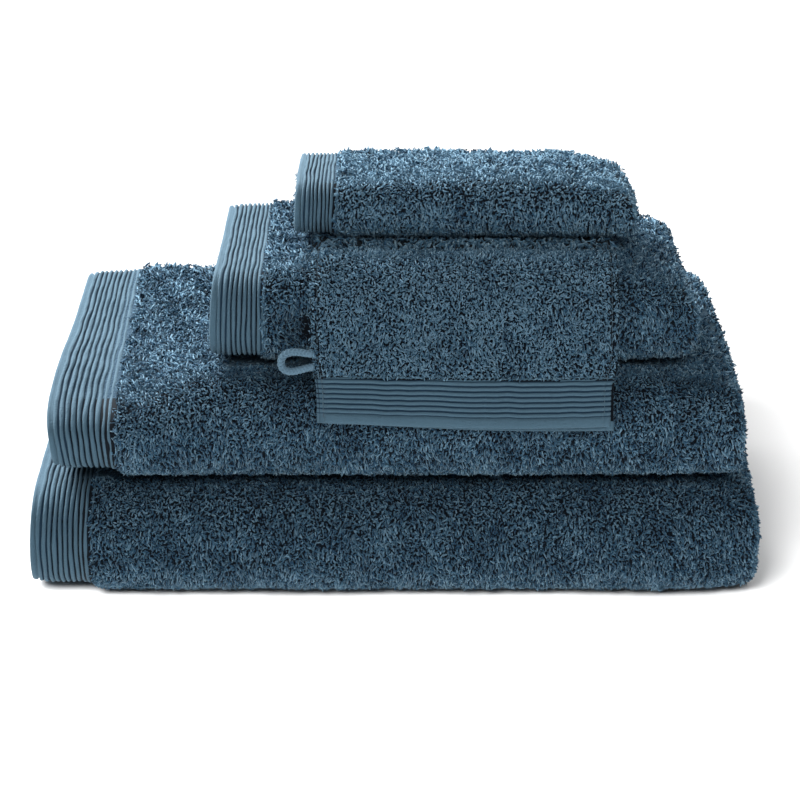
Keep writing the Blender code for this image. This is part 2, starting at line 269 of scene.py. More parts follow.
class Towel:
    """One folded towel: its flat cloth, the way it is folded, and how it has settled.  Its flat
    width is given, and its flat length follows from the fold lines."""

    def __init__(self, name, flat_w, layers, shape):
        low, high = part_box(name + "_body")
        edge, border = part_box(name + "_outer_border")
        self.name = name
        self.shape = shape
        self.flat_w = flat_w
        self.layers = layers
        self.low = np.array((edge.x, low.y, low.z))
        self.high = np.array(high)
        self.size = self.high - self.low
        self.border_w = border.x - edge.x
        p = (high.z - low.z + LAYER_GAP) / 4.0
        self.pitch = p
        t = (p - LAYER_GAP) / layers
        self.t = t
        self.across = self.folded_length(edge.x, high.x, t)
        self.flat_l = self.across.end
        self.around = self.folded_width(low, high, p)
        self.waves = rng.uniform(0.0, 2.0 * math.pi, 6)

    def folded_length(self, x0, x1, t):
        """The length: in half twice for four layers of thickness t, or in thirds for three."""
        xr = x1 - 0.5 * self.layers * t
        xl = x0 + 0.9 * t
        a = Line()
        if self.layers == 4:
            a.straight((x0, 1.5 * t), (xr, 1.5 * t), (0.0, 1.0))
            a.bend((xr, 0.0), 1.5 * t, QUARTER, -QUARTER, 1.0)
            a.straight((xr, -1.5 * t), (xl, -1.5 * t), (0.0, -1.0))
            a.bend((xl, -t), 0.5 * t, -QUARTER, -3.0 * QUARTER, 1.0, 5)
            a.straight((xl, -0.5 * t), (xr, -0.5 * t), (0.0, 1.0))
            a.bend((xr, 0.0), 0.5 * t, -QUARTER, QUARTER, -1.0, 5)
            a.straight((xr, 0.5 * t), (x0 + 0.6 * t, 0.5 * t), (0.0, -1.0))
        else:
            a.straight((x0, t), (xr, t), (0.0, 1.0))
            a.bend((xr, 0.0), t, QUARTER, -QUARTER, 1.0)
            a.straight((xr, -t), (xl, -t), (0.0, -1.0))
            a.bend((xl, -0.5 * t), 0.5 * t, -QUARTER, -3.0 * QUARTER, 1.0, 5)
            a.straight((xl, 0.0), (xr - 0.5 * t, 0.0), (0.0, 1.0))
        return a

    def folded_width(self, low, high, p):
        """The width, in half twice: four packs of height p, with both side hems at the back."""
        base = low.z - 0.5 * LAYER_GAP
        c = low.y + 2.0 * p
        far = high.y - p + 0.5 * LAYER_GAP
        b = Line()
        b.straight((far, base + 0.5 * p), (c, base + 0.5 * p), (0.0, -1.0))
        b.bend((c, base + 2.0 * p), 1.5 * p, -QUARTER, -3.0 * QUARTER, 1.0, 18)
        b.straight((c, base + 3.5 * p), (far, base + 3.5 * p), (0.0, 1.0))
        b.bend((far, base + 3.0 * p), 0.5 * p, QUARTER, -QUARTER, 1.0, 9)
        b.straight((far, base + 2.5 * p), (c, base + 2.5 * p), (0.0, -1.0))
        b.bend((c, base + 2.0 * p), 0.5 * p, QUARTER, 3.0 * QUARTER, -1.0, 8)
        b.straight((c, base + 1.5 * p), (far, base + 1.5 * p), (0.0, 1.0))
        return b

    def lay(self, u, v):
        """Where a point of the flat cloth lies in the folded, settled towel."""
        pa, _ = self.across.at(u)
        pb, nb = self.around.at(v)
        n = pa[:, 1]
        return self.settle(np.stack([pa[:, 0], pb[:, 0] + n * nb[:, 0], pb[:, 1] + n * nb[:, 1]], 1))

    def place(self, u, v, off=0.0):
        """The same, lifted by off from the cloth's outer face."""
        return lift(self.lay, self.across.end, self.around.end, u, v, off)

    # How far each kind of settling reaches: from the left end, over the border's last threads
    # and over its outer corner, in metres, and over the front, as a share of the depth.  CROWN
    # is how square the front's crown is, and PILE_ROOM is what the front's pile stands out.
    LEFT_REACH = 0.05
    THIN_REACH = 0.009
    CORNER_REACH = 0.007
    FRONT_REACH = 0.45
    CROWN = 2.3
    PILE_ROOM = 0.0012

    def settle(self, p):
        """The folded ends round off and sag a little, the thinner border end lies lower and
        further back, and the cloth lies in slow waves.  q rises from 0 at the bottom to 1 at
        the top, and d from 0 at the front to 1 at the back."""
        s = self.shape
        w = self.waves
        x, y, z = p.T.copy()
        q = np.clip((z - self.low[2]) / self.size[2], 0.0, 1.0)
        d = np.clip((y - self.low[1]) / self.size[1], 0.0, 1.0)
        near = ramp(1.0 - d / self.FRONT_REACH)
        right = ramp((x - self.high[0] + s["span"]) / s["span"])
        left = ramp((self.low[0] + self.LEFT_REACH - x) / self.LEFT_REACH)
        thin = ramp((self.low[0] + self.border_w + 0.004 - x) / self.THIN_REACH)
        corner = ramp((self.low[0] + self.CORNER_REACH - x) / self.CORNER_REACH)

        # The front is squarer at its foot than at its crown.
        half = 2.0 * self.pitch
        fy = (self.low[1] + half - y) / half
        fz = (z - self.low[2] - 0.5 * self.size[2]) / half
        rad = np.maximum(np.hypot(fy, fz), 1e-9)
        n = np.where(fz < 0.0, s["foot"], self.CROWN)
        full = (np.abs(fy / rad) ** n + np.abs(fz / rad) ** n) ** (-1.0 / n)
        full = np.where(fy > 0.0, full - 1.0, 0.0)
        y = y - full * fy * half
        z = z + full * fz * half

        # The folded right end rounds off and sags, and the border end leans and thins.
        curl = 1.0 - np.sqrt(np.maximum(0.0, 1.0 - (2.0 * q - 1.0) ** 2 * 0.98))
        inset = np.where(q > 0.5, s["right_top"], s["right_low"])
        x = x + right * (s["bulge"] * np.sin(math.pi * d) + s["right_out"] * (1.0 - ramp(d / 0.9))
                         - s["right_back"] * d - curl * inset)
        x = x + left * (q * q * s["left_top"] + d * s["left_back"] - s["left_out"] * (1.0 - ramp(d / 1.1)))
        z = z - right * right * q * s["droop"]
        z = z - (q - 0.5) * (thin * s["thin"] + 0.5 * corner * s["thin"])
        y = y + near * (right * right * s["recede"] + thin * s["step"] + corner * 0.4 * s["step"])

        # The top falls towards the front, and further where nothing lies on the border end.
        z = z - q * q * s["slope"] * np.clip(1.0 - d / self.FRONT_REACH, 0.0, 1.0) ** 2
        if "free_left" in s:
            bare = ramp((s["free_left"] - x) / 0.04)
            z = z - q * q * s["free_fall"] * bare * np.clip(1.0 - d, 0.0, 1.0) ** 2
        if "dent" in s:
            hollow = np.exp(-((x - s["dent"]) / s["dent_wide"]) ** 2) * ramp((0.85 - q) / 0.5)
            y = y + s["dent_deep"] * ramp(1.0 - d / 0.25) * hollow
        y = y + near * self.PILE_ROOM

        # Slow waves over the top, a raised back, and a roll along the front.
        swell = np.sin(41.0 * x + w[0]) * np.sin(37.0 * y + w[1]) + 0.5 * np.sin(83.0 * x + 21.0 * y + w[2])
        z = z + q * swell * s["wave"] + s["back"] * q * ramp((d - 0.5) / 0.5)
        roll = np.sin(33.0 * x + w[3]) + 0.6 * np.sin(71.0 * x + 55.0 * z + w[4])
        y = y + roll * s["wave"] * 4.0 * q * (1.0 - q) * (1.0 - d)
        return np.stack([x, y, z], 1)


def grid_object(name, columns, rows, place, mats, body, pick=None):
    """A grid over the flat cloth's columns and rows, carried into place, riding on a body.
    pick chooses a finish for each face from its column and row."""
    nx = len(columns) - 1
    ny = len(rows) - 1
    bm = bmesh.new()
    bmesh.ops.create_grid(bm, x_segments=nx, y_segments=ny, size=1.0)
    mesh = bpy.data.meshes.new(name)
    bm.to_mesh(mesh)
    bm.free()
    co = np.zeros(len(mesh.vertices) * 3)
    mesh.vertices.foreach_get("co", co)
    co = co.reshape(-1, 3)
    i = np.rint((co[:, 0] + 1.0) * 0.5 * nx).astype(int)
    j = np.rint((co[:, 1] + 1.0) * 0.5 * ny).astype(int)
    if pick is not None:
        mid = np.zeros(len(mesh.polygons) * 3)
        mesh.polygons.foreach_get("center", mid)
        mid = mid.reshape(-1, 3)
        at = pick(np.floor((mid[:, 0] + 1.0) * 0.5 * nx).astype(int),
                  np.floor((mid[:, 1] + 1.0) * 0.5 * ny).astype(int))
        mesh.polygons.foreach_set("material_index", at.astype(np.int32))
    mesh.vertices.foreach_set("co", place(i, j).astype(np.float32).ravel())
    for mat in mats:
        mesh.materials.append(mat)
    mesh.polygons.foreach_set("use_smooth", np.ones(len(mesh.polygons), bool))
    mesh.update()
    obj = bpy.data.objects.new(name, mesh)
    bpy.context.scene.collection.objects.link(obj)
    if body:
        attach(obj, body)
    return obj


# One rib across its width: how far along, how high, and 1 where the face is in the groove, which takes the
# painted groove shade.
RIB = ((0.0, 0.0, 1), (0.09, 0.12, 1), (0.17, 0.60, 0), (0.32, 0.92, 0), (0.5, 1.0, 0),
       (0.68, 0.92, 0), (0.83, 0.60, 1), (0.91, 0.12, 1))


def rib_section(start, stop, count, low, high):
    """(length, lift, in the groove or not) across a band of round ribs and narrow grooves."""
    wide = (stop - start) / count
    out = [(start + (k + f) * wide, low + h * (high - low), dark)
           for k in range(count) for f, h, dark in RIB]
    out.append((stop, low, 0))
    return out


# How each towel has settled, in metres.  span is how far in from the folded right end its
# shape reaches; right_top and right_low round off that end's edges, right_out, right_back and
# bulge shape it as seen from above, and droop and recede are its sag and set-back.  left_top,
# left_back and left_out move the border end, thin and step are how much thinner and further
# back the border lies, foot is how square the front's foot is, slope how far the top falls to
# the front, back how far it rises behind, and wave the height of its waves.  free_left and
# free_fall let the bare border end drop; dent is a hollow beside the mitt.
towels = [
    Towel("bath_sheet", 1.000, 4, {"span": 0.06, "right_top": 0.008, "right_low": 0.003,
          "right_out": 0.0012, "right_back": 0.0, "bulge": 0.002, "left_top": 0.002, "left_back": 0.0,
          "left_out": 0.001, "droop": 0.002, "recede": 0.006, "wave": 0.0011, "back": 0.002,
          "thin": 0.005, "step": 0.004, "foot": 2.4, "slope": 0.005}),
    Towel("bath_towel", 0.700, 4, {"span": 0.07, "right_top": 0.012, "right_low": 0.003,
          "right_out": 0.002, "right_back": 0.002, "bulge": 0.004, "left_top": -0.0035, "left_back": 0.0045,
          "left_out": 0.0033, "droop": 0.005, "recede": 0.005, "wave": 0.0012, "back": 0.008,
          "thin": 0.006, "step": 0.004, "foot": 2.8, "slope": 0.007,
          "free_left": -0.096, "free_fall": 0.014}),
    Towel("hand_towel", 0.500, 4, {"span": 0.06, "right_top": 0.020, "right_low": 0.010,
          "right_out": 0.0, "right_back": 0.003, "bulge": 0.001, "left_top": 0.002, "left_back": 0.003,
          "left_out": 0.0, "droop": 0.009, "recede": 0.008, "wave": 0.0010, "back": 0.003,
          "thin": 0.004, "step": 0.003, "foot": 2.6, "slope": 0.0015,
          "dent": -0.045, "dent_wide": 0.015, "dent_deep": 0.014}),
    Towel("guest_towel", 0.300, 3, {"span": 0.05, "right_top": 0.013, "right_low": 0.002,
          "right_out": 0.002, "right_back": 0.0, "bulge": 0.002, "left_top": 0.001, "left_back": 0.0,
          "left_out": 0.001, "droop": 0.006, "recede": 0.004, "wave": 0.0010, "back": -0.0030,
          "thin": 0.003, "step": 0.002, "foot": 2.3, "slope": 0.0035}),
]
RIB_COUNT = {"bath_sheet": 10, "bath_towel": 10, "hand_towel": 9, "guest_towel": 8}
HEM_W = 0.007
HEM_SHARE = 0.36


def towel_cloth(tw):
    """The woven ground: painted near-black shade where the full pile of the front stands on it, pressed
    elsewhere.
    """
    cols = np.array(tw.across.rows)
    rows = np.array(tw.around.rows)
    bend_end = tw.across.marks[2]
    start = tw.around.marks[1] - 0.01
    stop = tw.around.marks[2] - 0.004

    def finish(i, j):
        return np.where((cols[i] < bend_end) & (rows[j] > start) & (rows[j] < stop), 0, 1)

    obj = grid_object(tw.name + "_cloth", cols, rows, lambda i, j: tw.place(cols[i], rows[j]),
                      [GROUND_SHADE, PRESSED], tw.name, finish)
    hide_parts(tw.name + "_body")
    return obj


def towel_border(tw, suffix, outer):
    """Ribbed band at one end: turned edge inside, then the ribs on the outer face.  sec is its
    section as (distance from the edge, lift, in the groove or not)."""
    w = tw.border_w
    half = 0.34 * tw.t
    top = 0.0006 + 0.28 * tw.t
    in_view = tw.around.marks[1] - 0.01
    sec = [(0.0090, -half, 0), (0.0050, -half, 0), (0.0014, -half, 0), (0.0004, -0.6 * half, 0),
           (0.0, 0.2 * half, 0), (0.0003, 0.8 * top, 0), (0.0010, top, 0), (0.0022, top, 0)]
    sec += rib_section(0.0032, w - 0.0012, RIB_COUNT[tw.name], -0.0002, top)
    sec.append((w + 0.0012, 0.0004, 0))
    at = np.array([q[0] for q in sec])
    height = np.array([q[1] for q in sec])
    # Faces in the groove take the painted groove shade.
    dark = np.array([q[2] for q in sec])
    if not outer:
        at = tw.flat_l - at
    rows = np.array([r for r in tw.around.rows if 0.004 < r < tw.around.end - 0.004])
    if outer:
        seen = np.arange(in_view, tw.around.marks[3], 0.0025)
        rows = np.concatenate([rows[rows < seen[0] - 0.001], seen, rows[rows > seen[-1] + 0.001]])
    else:
        rows = rows[::2]
    steady_edge = ramp((at if outer else tw.flat_l - at) / 0.004)

    def laid(i, j):
        v = rows[j]
        drift = (0.00022 * patches(4.0 * at[i], v, 0.014)
                 + 0.00008 * patches(9.0 * at[i] + 3.0, v, 0.006))
        swell = 1.0 + 0.12 * patches(6.0 * at[i] + 7.0, v, 0.007)
        return tw.place(at[i] + drift * steady_edge[i], v, height[i] * swell)

    obj = grid_object(tw.name + suffix, at, rows, laid,
                      [RIBS, GROOVE_SHADE], tw.name, lambda i, j: dark[i])
    nodes = ["_outer_border", "_outer_end_hem"] if outer else ["_inner_border", "_inner_end_hem"]
    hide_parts(*[tw.name + n for n in nodes if tw.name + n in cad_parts])
    return obj


def towel_hem(tw, suffix, start):
    """Twice-turned side hem: a narrow flat roll along one side of the cloth."""
    h = HEM_SHARE * tw.t
    sec = [(HEM_W, 0.0), (HEM_W - 0.0004, h), (0.5 * HEM_W, 1.05 * h), (0.0010, h), (0.0002, 0.5 * h),
           (0.0, 0.0), (0.0002, -0.5 * h), (0.0010, -h), (0.5 * HEM_W, -1.05 * h), (HEM_W - 0.0004, -h),
           (HEM_W, 0.0)]
    at = np.array([q[0] for q in sec])
    height = np.array([q[1] for q in sec])
    if not start:
        at = tw.around.end - at
    cols = np.array(tw.across.rows)
    obj = grid_object(tw.name + suffix, cols, at, lambda i, j: tw.place(cols[i], at[j], height[j]),
                      [HEM], tw.name)
    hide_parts(tw.name + ("_lower_side_hem" if start else "_upper_side_hem"))
    return obj


bands = {}
for tw in towels:
    towel_cloth(tw)
    bands[tw.name] = [towel_border(tw, "_ribbed_border", True), towel_border(tw, "_tucked_border", False),
                      towel_hem(tw, "_lower_hem", True), towel_hem(tw, "_upper_hem", False)]


# ------------------------------------------------------------ terry pile
# Loops of soft twisted yarn standing out of the ground, each leaning its own way.  One loop is
# a small bent tube; it is copied with its own turn, lean and size, in one of three shades, with
# its root painted one shade darker as painted shade deep in the pile.  Real loops are about half
# this wide, and are drawn this coarse so that they show.
LOOP_SHAPES = 10
YARN = 0.00033
WIDE = 0.00095
TALL = 0.0017
SPACING = 0.0011
LEAN = 0.38
COMBED = 0.35
PIECE_TRIS = 190000

# The share of loops made on each face.  Only the front is whole: the other faces are seen at a
# slant or not at all, pressed is where the towel above lies, and grown loops make up for the
# ones left out.
KEEP = {"front": 1.0, "top": 0.52, "pressed": 0.09, "back": 0.36, "under": 0.18, "end_edge": 0.36,
        "front_bend": 0.75, "bend": 0.36, "behind_bend": 0.15, "left_fold": 0.18}
SPARSEST = 0.2
GROWTH = -0.42
LEAN_DOWN = {"front": 0.55, "elsewhere": 0.15, "pressed": 1.4}

# Low-twist cotton yarn: soft and matt, with a pale bloom at grazing angles.  Each loop takes
# one of three shades at random, in slow patches, and its root is painted one shade darker, the
# darkest down to near black: painted shade deep in the pile.
PILE = [cotton("cotton_pile_root_painted_shade", "0a1a28", 0.95, 0.1),
        cotton("cotton_pile_dark", "264760", 0.9, 0.4),
        cotton("cotton_pile_mid", "3f6279", 0.9, 0.5),
        cotton("cotton_pile_light", "62859c", 0.9, 0.6)]


def loop_shapes(line_at):
    """Loop variants as vertex arrays of (along, aside, up), and their shared quads."""
    shapes = []
    for k in range(LOOP_SHAPES):
        line = np.array(line_at(rng.uniform(-1.0, 1.0, 6))) * (WIDE, WIDE, TALL)
        tangent = unit(np.gradient(line, axis=0))
        side = unit(np.cross(tangent, (0.0, 1.0, 0.0)))
        other = np.cross(tangent, side)
        ring = []
        for i, p in enumerate(line):
            for a in (QUARTER, 7.0 * math.pi / 6.0, 11.0 * math.pi / 6.0):
                ring.append(p + YARN * (math.cos(a) * other[i] + math.sin(a) * side[i]))
        shapes.append(np.array(ring))
    quads = [(3 * i + k, 3 * i + (k + 1) % 3, 3 * i + 3 + (k + 1) % 3, 3 * i + 3 + k)
             for i in range(len(line) - 1) for k in range(3)]
    return np.array(shapes), np.array(quads)


loops, loop_faces = loop_shapes(
    lambda j: [(-0.3, 0.0, -0.15), (-0.4 + 0.2 * j[0], 0.3 * j[1], 0.9 + 0.2 * j[2]),
               (0.75 + 0.2 * j[3], 0.4 * j[4], 0.55 + 0.2 * j[5])])


def tube_mesh(name, verts, quads, mats, shades):
    """One mesh of many small tubes, with a finish for each face."""
    mesh = bpy.data.meshes.new(name)
    mesh.vertices.add(len(verts))
    mesh.vertices.foreach_set("co", verts.astype(np.float32).ravel())
    mesh.loops.add(quads.size)
    mesh.loops.foreach_set("vertex_index", quads.astype(np.int32).ravel())
    mesh.polygons.add(len(quads))
    mesh.polygons.foreach_set("loop_start", np.arange(0, quads.size, 4, dtype=np.int32))
    for mat in mats:
        mesh.materials.append(mat)
    mesh.polygons.foreach_set("material_index", shades.astype(np.int32))
    mesh.polygons.foreach_set("use_smooth", np.ones(len(quads), bool))
    mesh.update(calc_edges=True)
    return mesh


def pile(name, place, u, v, fall, grow, body, tones):
    """Loops at the flat points u, v.  fall is how far each leans down the cloth, grow its size,
    and tones are the shares below which a loop is dark and below which it is mid."""
    made = []
    count = len(u)
    # The root segment of each loop takes the next darker shade: painted shade deep in the pile.
    root_shade_step = np.array((1, 1, 1, 0, 0, 0))
    order = np.argsort(np.floor(v / 0.03) * 1000.0 + u)
    u, v, fall, grow = u[order], v[order], fall[order], grow[order]
    pieces = max(1, math.ceil(count * len(loop_faces) * 2 / PIECE_TRIS))
    for k in range(pieces):
        part = slice(count * k // pieces, count * (k + 1) // pieces)
        pu, pv, g, f = u[part], v[part], grow[part], fall[part]
        p = place(pu, pv, 0.0)
        up = unit(place(pu, pv, 2.0 * PROBE) - p)
        along = unit(place(pu + PROBE, pv, 0.0) - p)
        aside = np.cross(up, along)
        n = len(pu)
        turn = rng.uniform(0.0, 2.0 * math.pi, n)
        turn = turn - COMBED * np.minimum(1.0, 2.0 * f) * np.sin(2.0 * turn + math.pi)
        wide = rng.uniform(0.75, 1.3, n) * g
        tall = rng.uniform(0.75, 1.25, n) * (0.5 + 0.5 * g) * (1.0 + 0.22 * patches(pu, pv, 0.006))
        lean_along = rng.normal(0.0, LEAN, n) + COMBED * patches(pu + 0.4, pv, 0.010)
        lean_aside = rng.normal(0.0, LEAN, n) + COMBED * patches(pu, pv + 0.7, 0.012) - f
        shape = loops[rng.integers(0, LOOP_SHAPES, n)]
        cos, sin = np.cos(turn)[:, None], np.sin(turn)[:, None]
        c = shape[:, :, 2] * (tall * np.where(f > 1.0, 0.3, 1.0))[:, None]
        above = np.maximum(c, 0.0)
        a = (shape[:, :, 0] * cos - shape[:, :, 1] * sin) * wide[:, None] + lean_along[:, None] * above
        b = (shape[:, :, 0] * sin + shape[:, :, 1] * cos) * wide[:, None] + lean_aside[:, None] * above
        verts = (p[:, None] + a[..., None] * along[:, None] + b[..., None] * aside[:, None]
                 + c[..., None] * up[:, None]).reshape(-1, 3)
        verts[:, 2] = np.maximum(verts[:, 2], 0.0)
        quads = (loop_faces[None] + loops.shape[1] * np.arange(n)[:, None, None]).reshape(-1, 4)
        pick = rng.uniform(0.0, 1.0, n) + 0.12 * patches(pu + 0.2, pv, 0.016)
        tone = 1 + (pick > tones[0]) + (pick > tones[1])
        mesh = tube_mesh(f"{name}_{k + 1}", verts, quads, PILE, (tone[:, None] - root_shade_step).ravel())
        obj = bpy.data.objects.new(f"{name}_{k + 1}", mesh)
        bpy.context.scene.collection.objects.link(obj)
        if body:
            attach(obj, body)
        made.append(obj)
    return made


def scatter(nu, nv, wide, high):
    """Evenly jittered points over a flat rectangle."""
    gu, gv = np.meshgrid(np.arange(nu), np.arange(nv), indexing="ij")
    u = (gu.ravel() + 0.5 + rng.uniform(-0.45, 0.45, gu.size)) * wide / nu
    v = (gv.ravel() + 0.5 + rng.uniform(-0.45, 0.45, gu.size)) * high / nv
    return u, v


def towel_pile(tw, over, tones):
    """Pile on the faces of a folded towel; over is the box of the towel that lies on it."""
    high = tw.around.end
    u, v = scatter(int(tw.flat_l / SPACING), int(high / SPACING), tw.flat_l, high)
    ok = (u > tw.border_w - 0.0004) & (u < tw.flat_l - tw.border_w) & (v > HEM_W) & (v < high - HEM_W)
    u, v = u[ok], v[ok]
    p = tw.lay(u, v)
    ma = tw.across.marks
    mb = tw.around.marks
    face = u < ma[1]
    bend = (u >= ma[1]) & (u < ma[2])
    near = (u >= ma[2]) & (u < ma[2] + 0.004)
    left = (u > ma[3] - 0.003) & (u < ma[4] + 0.001)
    front = (v >= mb[1]) & (v < mb[2] + 0.006)
    top = (v >= mb[2]) & (v < mb[3])
    back = (v >= mb[3]) & (v < mb[4])
    keep = np.zeros(len(u))
    keep[face & front] = KEEP["front"]
    keep[face & top & ~front] = KEEP["top"]
    if over is not None:
        lo, hi = over
        under = ((p[:, 0] > lo[0] + 0.008) & (p[:, 0] < hi[0] - 0.016)
                 & (p[:, 1] > lo[1] + 0.018) & (p[:, 1] < hi[1] - 0.010))
        keep[face & top & under] = KEEP["pressed"]
    keep[face & back] = KEEP["back"]
    rim = (p[:, 1] < tw.low[1] + 2.0 * tw.pitch + 0.006) | (p[:, 0] > tw.high[0] - 0.02)
    keep[face & (v < mb[1]) & rim] = KEEP["under"]
    edge = face & (u > ma[1] - 0.006)
    keep[edge] = np.maximum(keep[edge], KEEP["end_edge"])
    keep[bend] = np.where(front[bend], KEEP["front_bend"], KEEP["bend"])
    keep[near] = KEEP["behind_bend"]
    keep[left] = KEEP["left_fold"]
    chosen = rng.uniform(0.0, 1.0, len(u)) < keep
    u, v, keep, left = u[chosen], v[chosen], keep[chosen], left[chosen]
    grow = np.where(left, 1.1, np.maximum(keep, SPARSEST) ** GROWTH)
    fall = np.where((v > mb[1]) & (v < mb[2]), LEAN_DOWN["front"], LEAN_DOWN["elsewhere"])
    fall = np.where(keep == KEEP["pressed"], LEAN_DOWN["pressed"], fall)
    made = []
    for suffix, some in (("_pile_front", keep == KEEP["front"]), ("_pile_rest", keep < KEEP["front"])):
        made += pile(tw.name + suffix, tw.place, u[some], v[some], fall[some], grow[some], tw.name, tones)
    return made


# The guest towel on top takes more of the pale loops: painted light, for the brighter light on the top of
# the stack.
covers = [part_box("bath_towel_body"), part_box("hand_towel_body"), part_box("guest_towel_body"), None]
tones = [(0.36, 0.8), (0.36, 0.8), (0.36, 0.8), (0.12, 0.5)]
for tw, cover, tone in zip(towels, covers, tones):
    bands[tw.name] += towel_pile(tw, cover, tone)


# ------------------------------------------------------------ wash mitt
# A flat bag of two terry panels sewn together 3 mm from the edge, open at the ribbed end.  Its
# closed end lies on the hand towel; the rest hangs over the fronts of the towels below.
MITT_L = 0.200
MITT_BAND = 0.024
MITT_RIBS = 7
PANEL = 0.0016
SEAM_IN = 0.0034
SEAM_DEEP = 0.0012
SEAM_HALF = 0.0007
EDGE_ROUND = 0.0035
FLARE = 0.05
MITT_OFF = 0.00345
MITT_LOWER = 0.0028

hand = towels[2]
bath = towels[1]
rear_low, rear_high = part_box("mitt_closed_end_seam")
mitt_x = rear_low.x
mitt_w = rear_high.x - mitt_x

# It hangs along the straight line that touches the hand towel's round front and the bath
# towel's; (ny, nz) is that line's outward normal.
hand_r = 0.5 * hand.size[2]
bath_r = 0.5 * bath.size[2]
hand_at = (hand.low[1] + hand_r, hand.low[2] + hand_r)
bath_at = (bath.low[1] + bath_r, bath.low[2] + bath_r)
over_hand = hand_r + MITT_OFF
over_bath = bath_r + MITT_OFF
gap_y = bath_at[0] - hand_at[0]
gap_z = bath_at[1] - hand_at[1]
span = math.hypot(gap_y, gap_z)
sine = (over_hand - over_bath) / span
cosine = math.sqrt(1.0 - sine * sine)
ny = sine * gap_y / span + cosine * gap_z / span
nz = sine * gap_z / span - cosine * gap_y / span
leave = math.atan2(nz, ny) % (2.0 * math.pi)
hang = span * cosine + MITT_LOWER
turn_at = (hand_at[0] + over_hand * ny, hand_at[1] + over_hand * nz)
open_at = (turn_at[0] - nz * hang, turn_at[1] + ny * hang)
drape = Line()
drape.straight(open_at, turn_at, (ny, nz), 0.0035)
drape.bend(hand_at, over_hand, leave, QUARTER, 1.0, 14)
rear = MITT_L - drape.end
flat_z = hand_at[1] + over_hand
drape.straight((hand_at[0], flat_z), (hand_at[0] + rear, flat_z), (0.0, 1.0), 0.006)


def mitt_place(a, s, off, side):
    """A point of the mitt: a across, s up from the open edge, side 1 in front and -1 behind.
    The panels thin to the seams and lie in slack waves; the open edge flares, and the middle of
    the hanging part spreads."""
    d = np.minimum(a, mitt_w - a)
    thick = PANEL * np.sqrt(1.0 - np.clip(1.0 - d / EDGE_ROUND, 0.0, 1.0) ** 2)
    groove = SEAM_DEEP * np.exp(-((d - SEAM_IN) / SEAM_HALF) ** 2) + 0.0009 * ramp((SEAM_IN - d) / 0.0012)
    flare = ramp(1.0 - s / FLARE)
    x = mitt_x + a
    slack = 0.0010 * flare * np.sin(52.0 * a + 0.6 + 0.9 * side) + 0.0006 * np.sin(88.0 * a + 60.0 * s)
    slack = slack * ramp(d / 0.012)
    n = side * (thick - groove + off) + slack + side * 0.0006 * flare * ramp(d / 0.01)
    s = s - flare * (0.0016 * np.sin(24.0 * a - 0.9) + (0.0022 * (a / mitt_w) if side < 0 else 0.0))
    x = x + (0.0015 * flare if side < 0 else 0.0) - 0.0022 * flare * (a / mitt_w) + 0.0012 * flare
    spread = ramp((s - 0.016) / 0.022) * ramp((drape.end - s) / 0.05)
    x = x + spread * (0.0054 * a / mitt_w - 0.0022)
    p, out = drape.at(np.maximum(s, 0.0))
    under = np.minimum(s, 0.0)
    return np.stack([x, p[:, 0] + n * out[:, 0] + under * nz, p[:, 1] + n * out[:, 1] - under * ny], 1)


by_edge = np.array([0.0, 0.0003, 0.0009, 0.0018])
by_seam = np.arange(0.0028, 0.0045, 0.0004)
cols = np.concatenate([by_edge, by_seam, np.linspace(0.0052, mitt_w - 0.0052, 60),
                       mitt_w - by_seam[::-1], mitt_w - by_edge[::-1]])
rows = np.array(drape.rows)


def mitt_part(obj):
    """Moves the piece's placement into its mesh."""
    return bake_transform(obj)


def mitt_panel(name, side):
    """The woven ground of one panel, painted near black as the shade between its loops."""
    obj = grid_object(name, cols, rows, lambda i, j: mitt_place(cols[i], rows[j], 0.0, side),
                      [GROUND_SHADE], None)
    mitt_part(obj)
    return obj


front_cloth = mitt_panel("mitt_cloth", 1.0)
back_cloth = mitt_panel("mitt_back_cloth", -1.0)
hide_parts("mitt_front_panel", "mitt_rear_upper_panel")
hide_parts("mitt_back_panel", "mitt_rear_lower_panel")

# The band's section from its turned edge up: (distance up, lift, in the groove or not); groove faces take
# the painted groove shade.
band_rows = [(0.0050, -0.0007, 0), (0.0012, -0.0007, 0), (0.0002, -0.0004, 0), (0.0, 0.0002, 0),
             (0.0005, 0.0008, 0), (0.0020, 0.0010, 0), (0.0036, 0.0010, 0), (0.0048, 0.0008, 0)]
band_rows += rib_section(0.0053, MITT_BAND - 0.0006, MITT_RIBS, 0.0, 0.0010)
band_rows.append((MITT_BAND + 0.0014, 0.0, 0))
band_s = np.array([q[0] for q in band_rows])
band_lift = np.array([q[1] for q in band_rows])
band_groove_shaded = np.array([q[2] for q in band_rows])


def mitt_band(name, side, node):
    """Ribbed border of one panel, its ribs pressed down where the side seams cross them."""
    seam_fade = 0.15 + 0.85 * ramp((cols - SEAM_IN - 0.0004) / 0.0014)
    jitter = 0.00012 * patches(cols, 0.0, 0.007) + 0.0001 * patches(cols, 0.3, 0.019)

    def laid(i, j):
        s = band_s[j] + jitter[i] * ramp(band_s[j] / 0.006)
        return mitt_place(cols[i], s, band_lift[j] * seam_fade[i], side)

    obj = grid_object(name, cols, band_s, laid,
                      [RIBS, GROOVE_SHADE], None, lambda i, j: band_groove_shaded[j])
    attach(obj, "mitt_flap")
    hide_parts(node)
    return obj


front_band = mitt_band("mitt_front_ribbed_border", 1.0, "mitt_front_border")
back_band = mitt_band("mitt_back_ribbed_border", -1.0, "mitt_back_border")


